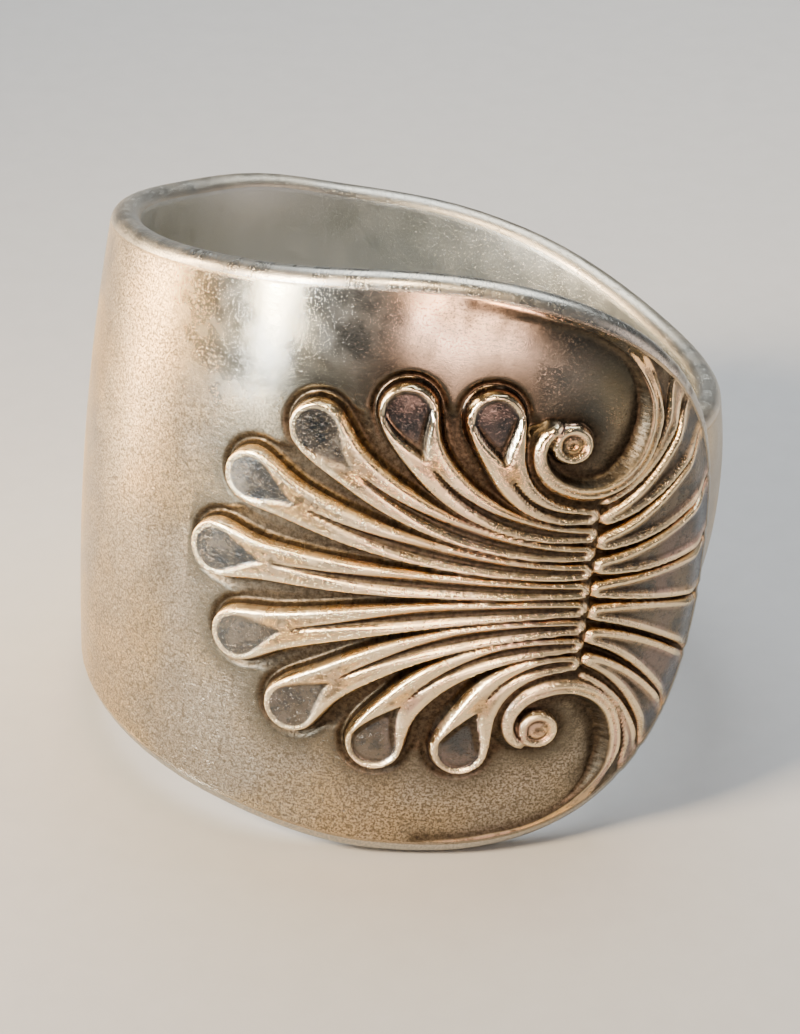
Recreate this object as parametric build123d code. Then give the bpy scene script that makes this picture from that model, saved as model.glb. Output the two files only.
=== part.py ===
from build123d import *

import itertools
import math
import os

import numpy as np
from scipy.spatial import ConvexHull, Delaunay

# A finger ring bent from the handle of a flat silver spoon, in millimetres.
# The ring is worked out about its own axis (+Z) with the ornament at the front (-Y),
# and is then laid down the way it lies on a table, with the floor at z = 0.
# "along" is the flat length along the strip from the middle of the front, positive towards
# the broad tip, and "up" is the height across the strip from its middle line.

# Sizes of the bent strip, in millimetres
bore_radius = 9.07
wall = 1.30
tip_lift = 1.43
lift_start_deg = 1.8
lift_end_deg = 58.2
front_deg = 2.36
edge_fall = 0.33
shank_end_deg = -311.0
shank_thinning = 0.20
thinning_deg = 40.0
end_round = 1.8
end_squareness = 3.0
tip_length = 10.20
tip_half_width = 9.42
tip_squareness = 2.4
STRIP_WIDTHS = [
    # angle round the ring, share of tip_half_width
    (-330.0, 0.365),
    (-285.0, 0.377),
    (-240.0, 0.408),
    (-200.0, 0.565),
    (-190.0, 0.597),
    (-160.0, 0.661),
    (-145.0, 0.705),
    (-120.0, 0.737),
    (-90.0, 0.806),
    (-60.0, 0.867),
    (-30.0, 0.936),
    (2.36, 1.0),
]
strip_radius = bore_radius + wall
rim_radius = (wall - edge_fall) / 2

# Heights and depths of the ornament
petal_height = 0.40
head_height = 0.12
head_run = 2.0
groove_depth = 0.12
groove_reach = 0.24
fan_groove_reach = 1.40
fan_start = 1.2
side_run = 0.26
root_side_run = 0.13
neck_run = 0.95
body_half_width = 0.84
body_narrowing = 1.0
cup_rim = 0.20
cup_point = 0.32
cup_side_run = 0.16
slit_start = 1.7
slit_half_width = 0.36
slit_depth = 0.20
slit_opening = 5.0
slit_point = 0.05
slit_fade = 0.6
slit_flank_share = 0.75
root_gap = 0.23
root_pitch = 0.605
root_half_width = 0.30
rib_height = 0.36
rib_hollow = 0.13
rib_rim = 0.10
rib_hollow_run = 0.36
rib_side_run = 0.15
scroll_height = 0.42
scroll_inner_run = 0.20
scroll_edge_run = 0.14
slope_fall = 0.70
start_fall = 0.36
start_run = 0.6
end_run = 2.2
crest_channel = 0.05
channel_share = 0.7
disc_height = 0.34
disc_radius = 0.52
disc_side_run = 0.16
dish_depth = 0.12
dish_radius = 0.28
dish_run = 0.18
eye_height = 0.04
eye_radius = 0.20
eye_half_width = 0.09
stem_height = 0.20
stem_half_width = 0.13
stem_half_length = 2.65
stem_side_run = 0.15
bead_share = 0.25
least_relief = 0.02
edge_relief = 0.10
edge_fade = 1.10
waist = 5.30

fan_length = 11.09
fan_half_width = 5.39
head_radius = 1.06
cup_depth = 0.22
# Shares of fan_length back from the waist, of fan_half_width, of head_radius and of cup_depth
PETALS = [
    # head along, head up, head radius, bend 1 along, bend 1 up, bend 2 along, bend 2 up, cup
    (1.000, 0.000, 1.000, 0.748, 0.000, 0.406, 0.000, 0.15),
    (0.917, 0.482, 0.962, 0.748, 0.345, 0.404, 0.113, 0.15),
    (0.747, 0.840, 0.962, 0.637, 0.571, 0.357, 0.224, 0.30),
    (0.513, 1.000, 0.962, 0.460, 0.631, 0.284, 0.338, 1.00),
    (0.284, 1.000, 0.925, 0.252, 0.711, 0.213, 0.447, 1.00),
]

rib_spread = 6.35
rib_half_width = 0.96
# Shares of the length from the waist to the tip, of rib_spread and of rib_half_width
RIBS = [
    # root along and up, root half width, bend 1 and bend 2 along and up, tip along and up, tip half width
    (0.069, 0.000, 0.353, 0.327, 0.000, 0.592, 0.000, 0.990, 0.000, 1.000),
    (0.073, 0.120, 0.353, 0.327, 0.135, 0.571, 0.198, 0.939, 0.328, 1.000),
    (0.073, 0.246, 0.353, 0.327, 0.290, 0.541, 0.419, 0.837, 0.638, 0.961),
    (0.065, 0.369, 0.294, 0.296, 0.438, 0.469, 0.598, 0.684, 0.866, 0.725),
    (0.041, 0.450, 0.157, 0.255, 0.535, 0.378, 0.693, 0.500, 1.000, 0.412),
]

scroll_back = 0.90
scroll_up = 4.69
scroll_reach = 5.17
crest_half_width = 0.15
crest_slope = 0.50
# Shares of scroll_reach, of crest_half_width and of crest_slope
SCROLL = [
    # turn in degrees, distance of the crest from the eye, half width of the crest, outer slope
    (95.0, 0.112, 0.300, 0.100),
    (135.0, 0.138, 0.500, 0.560),
    (180.0, 0.168, 0.600, 0.720),
    (225.0, 0.208, 0.700, 0.920),
    (270.0, 0.262, 0.812, 1.000),
    (296.0, 0.315, 0.875, 0.920),
    (326.0, 0.373, 0.938, 0.760),
    (360.0, 0.435, 1.000, 0.680),
    (385.0, 0.503, 1.000, 0.760),
    (404.0, 0.571, 1.000, 0.880),
    (419.0, 0.623, 1.000, 0.880),
    (434.0, 0.662, 0.938, 0.720),
    (449.0, 0.708, 0.800, 0.540),
    (462.0, 0.760, 0.600, 0.420),
    (475.0, 0.863, 0.400, 0.320),
    (487.0, 1.000, 0.200, 0.200),
]


# Spacing of the triangles' corners
form_step = 0.25
least_step = 0.125
field_step = 0.70
rim_step = 0.90
shank_step = 1.50
tip_rows = 27
end_turns = (90.0, 75.0, 55.0, 35.0, 17.0)
RIM_TURNS = (60.0, 20.0, -20.0, -60.0)
across_columns = 6
eye_turn_step = 36.0
cup_points = 8
least_upright = 0.8
bore_stock = 0.05

carving_start = waist - fan_length - head_radius - groove_reach


def ease(value):
    """Smooth step from 0 at 0 to 1 at 1."""
    held = np.clip(value, 0.0, 1.0)
    return held * held * (3 - 2 * held)


def angle_of(along):
    """Angle round the ring, in radians, of a flat length along the strip."""
    return math.radians(front_deg) + along / strip_radius


def along_of(degrees):
    """Flat length along the strip of an angle round the ring."""
    return (math.radians(degrees) - math.radians(front_deg)) * strip_radius


def inner_radius(along):
    """Radius of the inside of the strip: the round bore, then the lifted tip."""
    degrees = np.degrees(angle_of(along))
    return bore_radius + tip_lift * ease((degrees - lift_start_deg) / (lift_end_deg - lift_start_deg))


def stock_radius(along):
    """Radius of the inside before the finger hole is cut, a little less than afterwards."""
    lifted = (inner_radius(along) - bore_radius) / tip_lift
    return inner_radius(along) - bore_stock * (1 - lifted)


def middle_wall(along):
    """Thickness of the strip on its middle line."""
    degrees = np.degrees(angle_of(along))
    return wall - shank_thinning * ease((shank_end_deg + thinning_deg - degrees) / thinning_deg)


def strip_half_width(along):
    """Half the width of the narrowing handle, by a smooth curve through the table."""
    knots = np.array([along_of(row[0]) for row in STRIP_WIDTHS])
    widths = np.array([row[1] for row in STRIP_WIDTHS]) * tip_half_width
    slopes = np.gradient(widths, knots)
    slopes[-1] = 0.0
    cell = int(np.clip(np.searchsorted(knots, along) - 1, 0, len(knots) - 2))
    run = knots[cell + 1] - knots[cell]
    t = (along - knots[cell]) / run
    start = widths[cell] * (2 * t**3 - 3 * t**2 + 1) + slopes[cell] * run * (t**3 - 2 * t**2 + t)
    stop = widths[cell + 1] * (3 * t**2 - 2 * t**3) + slopes[cell + 1] * run * (t**3 - t**2)
    return start + stop


def oval(share, squareness):
    """Half width of an oval end, as a share, at a share of its length."""
    return max(0.0, 1.0 - abs(share) ** squareness) ** (1 / squareness)


def curve(points, count=25):
    """Points along a cubic curve with two bends, given as four (along, up) pairs."""
    t = np.linspace(0.0, 1.0, count)[:, None]
    a, b, c, d = [np.array(point, float) for point in points]
    return a * (1 - t) ** 3 + 3 * b * t * (1 - t) ** 2 + 3 * c * t**2 * (1 - t) + d * t**3


def lengths_of(path):
    """Length run along a path at each of its points."""
    return np.concatenate([[0.0], np.cumsum(np.hypot(*np.diff(path, axis=0).T))])


def nearest(path, along, up):
    """Distance from each point to a path, the length along the path there, and the side."""
    start, run = path[:-1], np.diff(path, axis=0)
    length = np.hypot(run[:, 0], run[:, 1])
    reach_a = along[:, None] - start[:, 0]
    reach_u = up[:, None] - start[:, 1]
    share = np.clip((reach_a * run[:, 0] + reach_u * run[:, 1]) / length**2, 0.0, 1.0)
    off_a = reach_a - share * run[:, 0]
    off_u = reach_u - share * run[:, 1]
    gap = np.hypot(off_a, off_u)
    best = gap.argmin(axis=1)
    row = np.arange(len(along))
    travelled = lengths_of(path)
    side = np.sign(run[best, 0] * off_u[row, best] - run[best, 1] * off_a[row, best])
    return gap[row, best], travelled[best] + share[row, best] * length[best], side


def petal_path(number):
    """Centre line of one petal from its head to its root at the waist."""
    head_a, head_u, _, first_a, first_u, second_a, second_u, _ = PETALS[number]
    shares = ((head_a, head_u), (first_a, first_u), (second_a, second_u))
    points = [(waist - a * fan_length, u * fan_half_width) for a, u in shares]
    return curve(points + [(waist - root_gap, number * root_pitch)])


def petal_half_width(number, travelled):
    """Half width of one petal at a length from the middle of its head: a round head and a narrowing body."""
    share = np.clip(travelled / lengths_of(petal_path(number))[-1], 0.0, 1.0)
    body = root_half_width + (body_half_width - root_half_width) * (1 - share) ** body_narrowing
    return body + (PETALS[number][2] * head_radius - body) * np.exp(-((travelled / neck_run) ** 2))


def rib_path(rib):
    """Centre line of one rib from the waist to the tip's edge."""
    shares = (rib[0:2], rib[3:5], rib[5:7], rib[7:9])
    return curve([(waist + a * (tip_length - waist), u * rib_spread) for a, u in shares])


def rib_half(rib, share):
    """Half width of one rib's foot at a share of its length."""
    return rib_half_width * (rib[2] + (rib[9] - rib[2]) * share)


def scroll_path():
    """Crest line of the scroll, with its half width and the width of its outer slope at each point."""
    table = np.array(SCROLL)
    turns = np.linspace(table[0, 0], table[-1, 0], 120)
    reach = scroll_reach * np.interp(turns, table[:, 0], table[:, 1])
    turned = np.radians(turns)
    eye = waist - scroll_back
    path = np.stack([eye + reach * np.cos(turned), scroll_up + reach * np.sin(turned)], axis=1)
    half = crest_half_width * np.interp(turns, table[:, 0], table[:, 2])
    return path, half, crest_slope * np.interp(turns, table[:, 0], table[:, 3])


def depths(along, up):
    """How far inside each petal and rib a point is, and the length run along each."""
    found = []
    for number in range(len(PETALS)):
        gap, travelled, _ = nearest(petal_path(number), along, up)
        found.append((petal_half_width(number, travelled) - gap, travelled))
    for rib in RIBS:
        path = rib_path(rib)
        gap, travelled, _ = nearest(path, along, up)
        found.append((rib_half(rib, travelled / lengths_of(path)[-1]) - gap, travelled))
    return found


def petal_form(number, depth, travelled):
    """Height of one petal: a rounded flank, a cup in its head and a slit between two ridges behind."""
    half = petal_half_width(number, travelled)
    share = np.clip(travelled / lengths_of(petal_path(number))[-1], 0.0, 1.0)
    flank = side_run + (root_side_run - side_run) * share
    top = petal_height + head_height * np.exp(-travelled / head_run)
    cup = ease((depth - cup_rim - cup_point * travelled) / cup_side_run)
    opened = slit_point + slit_half_width * ease((travelled - slit_start) / slit_opening)
    width = np.clip(opened, slit_point, np.maximum(half - slit_flank_share * flank, slit_point))
    gap = np.maximum(half - depth, 0.0)
    slit = ease((travelled - slit_start) / slit_fade) * (1 - ease(gap / width))
    value = (top + groove_depth) * ease(depth / flank) - groove_depth
    return value - cup_depth * PETALS[number][7] * cup - slit_depth * slit, np.maximum(cup, slit)


def rib_form(depth):
    """Height of one rib, with a steep flank and a shallow hollow inside its rim."""
    hollow = ease((depth - rib_rim) / rib_hollow_run)
    side = (rib_height + groove_depth) * ease(depth / rib_side_run)
    return side - groove_depth - rib_hollow * hollow, hollow


def carved(along, up):
    """Height of the petals and ribs over the plain strip, and how far their hollows are sunk."""
    inside = np.full(along.shape, -9.0)
    height, sunk, groove = np.zeros(along.shape), np.zeros(along.shape), np.zeros(along.shape)
    for number, (depth, travelled) in enumerate(depths(along, up)):
        petal = number < len(PETALS)
        value, sunken = petal_form(number, depth, travelled) if petal else rib_form(depth)
        nearer = depth > inside
        height = np.where(nearer, value, height)
        sunk = np.where(nearer, sunken, sunk)
        reach = groove_reach + (fan_groove_reach - groove_reach) * ease(travelled / fan_start)
        groove = np.maximum(groove, 1 - ease(-depth / reach))
        inside = np.maximum(inside, depth)
    within = inside > 0
    return np.where(within, height, -groove_depth * groove), np.where(within, sunk, 0.0)


def relief(along, up):
    """Height of the ornament over the plain strip, the same above and below the middle."""
    along = np.asarray(along, float)
    up = np.abs(np.asarray(up, float))
    height, _ = carved(along, up)
    return np.maximum(np.maximum(height, scroll(along, up)), stem(along, up))


def scroll(along, up):
    """The scroll beside the waist: a dished disc with an eye, and a sharp crest that winds out of it."""
    path, half_widths, slopes = scroll_path()
    gap, travelled, side = nearest(path, along, up)
    total = lengths_of(path)
    half = np.interp(travelled, total, half_widths)
    slope = np.interp(travelled, total, slopes)
    fall = np.clip((gap - half) / slope, 0.0, 1.0)
    outward = (1 - slope_fall * fall * (2 - fall)) * (1 - ease((gap - half - slope) / scroll_edge_run))
    inward = 1 - ease((gap - half) / scroll_inner_run)
    crest = scroll_height * np.where(side < 0, outward, inward)
    crest = crest - crest_channel * (1 - ease(gap / (channel_share * half)))
    crest = crest - start_fall * (1 - ease(travelled / start_run))
    crest = crest - scroll_height * ease((travelled - total[-1]) / end_run + 1)
    distance = np.hypot(along - waist + scroll_back, up - scroll_up)
    disc = disc_height * (1 - ease((distance - disc_radius) / disc_side_run))
    disc = disc - dish_depth * (1 - ease((distance - dish_radius) / dish_run))
    disc = disc + eye_height * np.exp(-(((distance - eye_radius) / eye_half_width) ** 2))
    value = np.maximum(crest, disc)
    return np.where(value > least_relief, value, -9.0)


def stem(along, up):
    """The narrow beaded stem that stands across the waist."""
    gap = np.abs(along - waist)
    beads = 1 + bead_share * np.cos(2 * math.pi * up / root_pitch)
    ends = 1 - ease((up - stem_half_length) / stem_side_run)
    value = stem_height * beads * (1 - ease((gap - stem_half_width / 2) / stem_side_run)) * ends
    return np.where(value > least_relief, value, -9.0)


def place(along, up, radius):
    """Points of the upright ring at flat positions and radii from its axis."""
    angle = angle_of(along)
    return np.stack([radius * np.sin(angle), -radius * np.cos(angle), up + 0 * angle], axis=-1)


def stations():
    """Rows along the strip: place and half width of the outer face, then of the rim's outermost line."""
    rows = []
    start = along_of(shank_end_deg) + end_round
    for turn in end_turns:
        share = math.sin(math.radians(turn))
        width = strip_half_width(start)
        narrow = oval(share, end_squareness) if turn < 90.0 else 0.0
        rows.append((start - (end_round - rim_radius) * share, (width - rim_radius) * narrow,
                     start - end_round * share, width * narrow))
    shank = np.linspace(start, carving_start, int((carving_start - start) / shank_step) + 1)
    front = np.linspace(carving_start, 0.0, int(-carving_start / rim_step) + 1)
    for along in np.append(shank, front[1:]):
        width = strip_half_width(along)
        rows.append((along, width - rim_radius, along, width))
    for turn in np.linspace(0.0, 90.0, tip_rows + 1)[1:]:
        share = math.sin(math.radians(turn)) if turn < 90.0 else 1.0
        narrow = oval(share, tip_squareness)
        rows.append(((tip_length - rim_radius) * share, (tip_half_width - rim_radius) * narrow,
                     tip_length * share, tip_half_width * narrow))
    return np.array(rows)


def outer_points(along, up, rows):
    """Points of the outer face, which falls away to its edges and ends and carries the relief."""
    half = np.maximum(np.interp(along, rows[:, 0], rows[:, 1]), 1e-6)
    across = np.clip(np.abs(up) / half, 0.0, 1.0)
    tip_share = np.clip(along / (tip_length - rim_radius), 0.0, 1.0)
    end_length = end_round - rim_radius
    end_share = np.clip((rows[0, 0] + end_length - along) / end_length, 0.0, 1.0)
    drop = edge_fall * (1 - (1 - across**2) * (1 - tip_share**8) * (1 - end_share**2))
    gap, _, _ = nearest(rows[:, :2], along, np.abs(up))
    left = edge_relief + (1 - edge_relief) * ease(gap / edge_fade)
    return place(along, up, inner_radius(along) + middle_wall(along) - drop + relief(along, up) * left)


def form_lines():
    """Lines of the ornament: the owner, a path, its sides and the distance from the path at each point."""
    lines = []
    for number in range(len(PETALS)):
        path = petal_path(number)
        length = lengths_of(path)
        half = petal_half_width(number, length)
        flank = side_run + (root_side_run - side_run) * length / length[-1]
        lines.append((number, path, (0.0,), half))
        for inward in (0.0, 1 / 2, 1.0):
            lines.append((number, path, (1.0, -1.0), half - inward * flank))
        head = np.linspace(0.0, (head_radius - cup_rim) / (1 + cup_point), cup_points)
        tops = np.stack([np.interp(head, length, path[:, k]) for k in range(2)], axis=1)
        rim = petal_half_width(number, head) - cup_rim - cup_point * head
        for inward in (0.0, cup_side_run):
            lines.append((number, tops, (1.0, -1.0), np.maximum(rim - inward, 0.0)))
    for order, rib in enumerate(RIBS):
        path = rib_path(rib)
        half = rib_half(rib, lengths_of(path) / lengths_of(path)[-1])
        lines.append((len(PETALS) + order, path, (0.0,), half))
        for inward in (0.0, rib_side_run, rib_rim + rib_hollow_run):
            lines.append((len(PETALS) + order, path, (1.0, -1.0), half - inward))
    path, half, slope = scroll_path()
    lines.append((None, path, (0.0,), half))
    lines.append((None, path, (1.0,), half))
    lines.append((None, path, (1.0,), half + scroll_inner_run))
    lines.append((None, path, (-1.0,), half))
    lines.append((None, path, (-1.0,), half + slope / 2))
    lines.append((None, path, (-1.0,), half + slope))
    lines.append((None, path, (-1.0,), half + slope + scroll_edge_run))
    return lines


def form_points():
    """Flat points along the ornament's own lines, so that the triangles follow its ridges and grooves."""
    found = []
    for owner, path, sides, distance in form_lines():
        length = lengths_of(path)
        at = np.linspace(0.0, length[-1], max(3, int(length[-1] / form_step)) + 1)
        centre = np.stack([np.interp(at, length, path[:, k]) for k in range(2)], axis=1)
        run = np.gradient(centre, axis=0)
        run /= np.linalg.norm(run, axis=1)[:, None]
        left = np.stack([-run[:, 1], run[:, 0]], axis=1)
        wide = np.maximum(np.interp(at, length, distance), 0.0)
        points = [centre + side * left * wide[:, None] for side in sides]
        if len(sides) == 2:
            for end, facing in ((0, -1.0), (-1, 1.0)):
                steps = max(3, int(math.pi * wide[end] / form_step))
                turns = np.linspace(-math.pi / 2, math.pi / 2, steps + 1)[1:-1]
                around = np.outer(np.cos(turns), facing * run[end]) + np.outer(np.sin(turns), left[end])
                points.append(centre[end] + around * wide[end])
        points = np.concatenate(points)
        if owner is not None:
            inner = np.array([depth for depth, _ in depths(points[:, 0], np.abs(points[:, 1]))])
            points = points[inner.argmax(axis=0) == owner]
        found.append(points)
    turns = np.radians(np.arange(0.0, 360.0, eye_turn_step))
    ring = np.stack([np.cos(turns), np.sin(turns)], axis=1)
    eye = np.array([waist - scroll_back, scroll_up])
    for reach in (0.0, eye_radius, dish_radius + dish_run / 2, disc_radius, disc_radius + disc_side_run):
        found.append(eye + (ring if reach else ring[:1]) * reach)
    ups = np.arange(0.0, stem_half_length + root_pitch / 2, root_pitch / 2)
    for side in (-1.0, 0.0, 1.0):
        offset = side * (stem_half_width / 2 + stem_side_run)
        found.append(np.stack([np.full(len(ups), waist + offset), ups], axis=1))
    return np.concatenate(found)


def flat_points(rows):
    """Flat points of the outer face: its outline, the ornament's lines and an even field between them."""
    field = []
    for along in np.arange(carving_start, tip_length, field_step):
        half = np.interp(along, rows[:, 0], rows[:, 1])
        field += [(along, up) for up in np.arange(0.0, half - field_step / 2, field_step)]
    for row in rows[len(end_turns):]:
        if row[0] < carving_start:
            field += [(row[0], up) for up in np.linspace(0.0, row[1], across_columns)[:-1]]
    wanted = np.concatenate([form_points(), np.array(field)])
    wanted[np.abs(wanted[:, 1]) < least_step / 2, 1] = 0.0
    room = np.interp(wanted[:, 0], rows[:, 0], rows[:, 1])
    gap, _, _ = nearest(rows[:, :2], wanted[:, 0], wanted[:, 1])
    wanted = wanted[(wanted[:, 1] >= 0.0) & (wanted[:, 1] < room) & (gap > tip_length / tip_rows / 2)]
    kept = []
    cells = {}
    for point in wanted.tolist():
        column, row = int(point[0] // least_step), int(point[1] // least_step)
        around = itertools.product((column - 1, column, column + 1), (row - 1, row, row + 1))
        close = [other for cell in around for other in cells.get(cell, [])]
        if all(math.dist(point, other) >= least_step for other in close):
            cells.setdefault((column, row), []).append(point)
            kept.append(point)
    kept = np.array(kept)
    border = np.concatenate([rows[:, :2], rows[1:-1, :2] * (1.0, -1.0)])
    return np.concatenate([border, kept, kept[kept[:, 1] > 0.0] * (1.0, -1.0)])


def shell_mesh():
    """Corners and triangles of the whole strip: outer face, rims and inner face."""
    rows = stations()
    count = len(rows)
    flat = flat_points(rows)
    corners = [outer_points(flat[:, 0], flat[:, 1], rows)]
    triangles = []
    for a, b, c in Delaunay(flat).simplices:
        middle = (flat[a] + flat[b] + flat[c]) / 3
        if abs(middle[1]) < np.interp(middle[0], rows[:, 0], rows[:, 1]):
            one, two = flat[b] - flat[a], flat[c] - flat[a]
            cross = one[0] * two[1] - one[1] * two[0]
            triangles.append((a, b, c) if cross > 0 else (a, c, b))
    inner = stock_radius(rows[:, 0])
    rim_half = (inner_radius(rows[:, 0]) + middle_wall(rows[:, 0]) - edge_fall - inner) / 2
    plain = np.linalg.norm(corners[0][:count, :2], axis=1) - inner - 2 * rim_half
    columns = [np.arange(count)]
    total = len(flat)
    for sign, turns in ((1.0, RIM_TURNS), (0.0, (1.0, 0.0, -1.0)), (-1.0, RIM_TURNS[::-1])):
        for turn in turns:
            if sign == 0.0:
                corners.append(place(rows[:, 0], turn * rows[:, 1], inner))
            else:
                cosine, sine = math.cos(math.radians(turn)), math.sin(math.radians(turn))
                along = rows[:, 0] + (rows[:, 2] - rows[:, 0]) * cosine
                up = sign * (rows[:, 1] + (rows[:, 3] - rows[:, 1]) * cosine)
                corners.append(place(along, up, inner + rim_half * (1 + sine) + plain * max(0.0, sine)))
            columns.append(np.arange(total, total + count))
            total += count
    lower = np.arange(count, 2 * count - 2)
    columns.append(np.concatenate([[0], lower, [count - 1]]))
    for near, far in zip(columns[:-1], columns[1:]):
        for k in range(count - 1):
            triangles.append((near[k], near[k + 1], far[k + 1]))
            triangles.append((near[k], far[k + 1], far[k]))
    return np.concatenate(corners), triangles


def balance_point(points, triangles):
    """Centre of the metal that the triangles close in."""
    a, b, c = [points[[corner[k] for corner in triangles]] for k in range(3)]
    part = np.einsum("ij,ij->i", a, np.cross(b, c))
    return (part[:, None] * (a + b + c)).sum(axis=0) / part.sum() / 4


def resting(points, triangles):
    """Turn and shift that lay the ring down on three points of its rim, its balance point over them."""
    settled = points - balance_point(points, triangles)
    hull = ConvexHull(settled)
    lowest = math.inf
    for corners, plane in zip(hull.simplices, hull.equations):
        height = -plane[3]
        if plane[2] > -least_upright or height > lowest:
            continue
        if np.linalg.solve(settled[corners].T, height * plane[:3]).min() >= 0:
            lowest = height
            normal = -plane[:3]
    axis = np.cross(normal, (0.0, 0.0, 1.0))
    sine = np.linalg.norm(axis)
    x, y, z = axis / sine
    turn = np.array([[0, -z, y], [z, 0, -x], [-y, x, 0]])
    matrix = np.eye(3) + sine * turn + (1 - normal[2]) * turn @ turn
    settled = settled @ matrix.T
    low, high = settled.min(axis=0), settled.max(axis=0)
    shift = np.array([(low[0] + high[0]) / 2, (low[1] + high[1]) / 2, low[2]])
    return matrix, -balance_point(points, triangles) @ matrix.T - shift


def closed_solid(points, triangles):
    """One closed solid from the triangles, with coinciding points joined."""
    rounded = np.round(points, 5)
    _, first, which = np.unique(rounded, axis=0, return_index=True, return_inverse=True)
    which = which.ravel()
    corners = points[first]
    faces = []
    for a, b, c in triangles:
        a, b, c = which[a], which[b], which[c]
        if a == b or b == c or a == c:
            continue
        faces.append(Face(Wire.make_polygon([Vector(*corners[n]) for n in (a, b, c)], close=True)))
    return Solid(Shell(faces)), len(faces)


def bored(band, turn, shift):
    """The band with its finger hole cut to one true round wall."""
    across = Plane(origin=tuple(shift), z_dir=tuple(turn @ (0.0, 0.0, 1.0)))
    hole = across * Cylinder(bore_radius, 4 * tip_half_width)
    solids = (band - hole).solids()
    if len(solids) != 1:
        raise ValueError("the bored band should be one solid")
    return solids[0]


everything, triangles = shell_mesh()
rest_turn, rest_shift = resting(everything, triangles)
band, face_count = closed_solid(everything @ rest_turn.T + rest_shift, triangles)
band = bored(band, rest_turn, rest_shift)
print("triangles", face_count, "volume", round(band.volume, 1), "valid", band.is_valid)

os.makedirs("parts", exist_ok=True)
export_step(band, "parts/silver_band.step")
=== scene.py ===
import math

import bpy
import numpy as np
from mathutils import Matrix, Vector


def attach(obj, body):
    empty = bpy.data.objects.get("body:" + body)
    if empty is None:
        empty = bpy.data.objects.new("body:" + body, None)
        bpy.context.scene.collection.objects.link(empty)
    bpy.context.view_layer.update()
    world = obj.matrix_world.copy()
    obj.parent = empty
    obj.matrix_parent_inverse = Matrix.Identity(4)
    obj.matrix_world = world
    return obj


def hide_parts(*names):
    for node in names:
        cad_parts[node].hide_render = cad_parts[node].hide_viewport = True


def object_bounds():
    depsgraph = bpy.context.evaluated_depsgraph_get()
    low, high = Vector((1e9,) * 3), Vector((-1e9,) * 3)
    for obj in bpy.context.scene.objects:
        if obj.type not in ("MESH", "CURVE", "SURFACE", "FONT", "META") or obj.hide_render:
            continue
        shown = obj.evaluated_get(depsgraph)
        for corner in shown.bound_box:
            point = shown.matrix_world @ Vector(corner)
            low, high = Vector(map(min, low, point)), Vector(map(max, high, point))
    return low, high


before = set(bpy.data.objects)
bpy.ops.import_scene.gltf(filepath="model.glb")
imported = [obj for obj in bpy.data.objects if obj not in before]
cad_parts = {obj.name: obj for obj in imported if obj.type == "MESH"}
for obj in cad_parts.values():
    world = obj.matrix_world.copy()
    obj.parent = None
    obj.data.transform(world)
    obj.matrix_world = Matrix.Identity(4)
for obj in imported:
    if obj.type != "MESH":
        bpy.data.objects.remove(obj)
cad_box = [[float(v) for v in corner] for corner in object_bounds()]

MM = 0.001

# The ring's own axis and middle in the row's frame, as the part lays it down
ring_axis = Vector((0.08086327, 0.18927064, 0.97858968))
ring_middle = Vector((0.10688153, 0.38620042, 7.53965409))

# Sizes of the bent strip, in millimetres, the same as the part's
bore_radius = 9.07
wall = 1.30
tip_lift = 1.43
lift_start_deg = 1.8
lift_end_deg = 58.2
front_deg = 2.36
edge_fall = 0.33
shank_end_deg = -311.0
shank_thinning = 0.20
thinning_deg = 40.0
end_round = 1.8
end_squareness = 3.0
tip_length = 10.20
tip_half_width = 9.42
tip_squareness = 2.4
STRIP_WIDTHS = [
    # angle round the ring, share of tip_half_width
    (-330.0, 0.365),
    (-285.0, 0.377),
    (-240.0, 0.408),
    (-200.0, 0.565),
    (-190.0, 0.597),
    (-160.0, 0.661),
    (-145.0, 0.705),
    (-120.0, 0.737),
    (-90.0, 0.806),
    (-60.0, 0.867),
    (-30.0, 0.936),
    (2.36, 1.0),
]
strip_radius = bore_radius + wall
rim_radius = (wall - edge_fall) / 2

# Heights, depths, widths and runs of the ornament, in millimetres, and a few shares of them
petal_height = 0.40
head_height = 0.12
head_run = 2.0
groove_depth = 0.12
groove_reach = 0.24
fan_groove_reach = 1.40
fan_start = 1.2
side_run = 0.26
root_side_run = 0.13
neck_run = 0.95
body_half_width = 0.84
body_narrowing = 1.0
cup_rim = 0.20
cup_point = 0.32
cup_side_run = 0.16
slit_start = 1.7
slit_half_width = 0.36
slit_depth = 0.20
slit_opening = 5.0
slit_point = 0.05
slit_fade = 0.6
slit_flank_share = 0.75
root_gap = 0.23
root_pitch = 0.605
root_half_width = 0.30
rib_height = 0.36
rib_hollow = 0.13
rib_rim = 0.10
rib_hollow_run = 0.36
rib_side_run = 0.15
scroll_height = 0.42
scroll_inner_run = 0.20
scroll_edge_run = 0.14
slope_fall = 0.70
start_fall = 0.36
start_run = 0.6
end_run = 2.2
crest_channel = 0.05
channel_share = 0.7
disc_height = 0.34
disc_radius = 0.52
disc_side_run = 0.16
dish_depth = 0.12
dish_radius = 0.28
dish_run = 0.18
eye_height = 0.04
eye_radius = 0.20
eye_half_width = 0.09
stem_height = 0.20
stem_half_width = 0.13
stem_half_length = 2.65
stem_side_run = 0.15
bead_share = 0.25
least_relief = 0.02
edge_relief = 0.10
edge_fade = 1.10
waist = 5.30
# Share of the crest's outer slope that still counts as inside the ornament
slope_shown = 0.3
# A distance beyond every form, for places that none of them reaches
far = 9.0
curve_points = 40
crest_points = 120

fan_length = 11.09
fan_half_width = 5.39
head_radius = 1.06
cup_depth = 0.22
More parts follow.
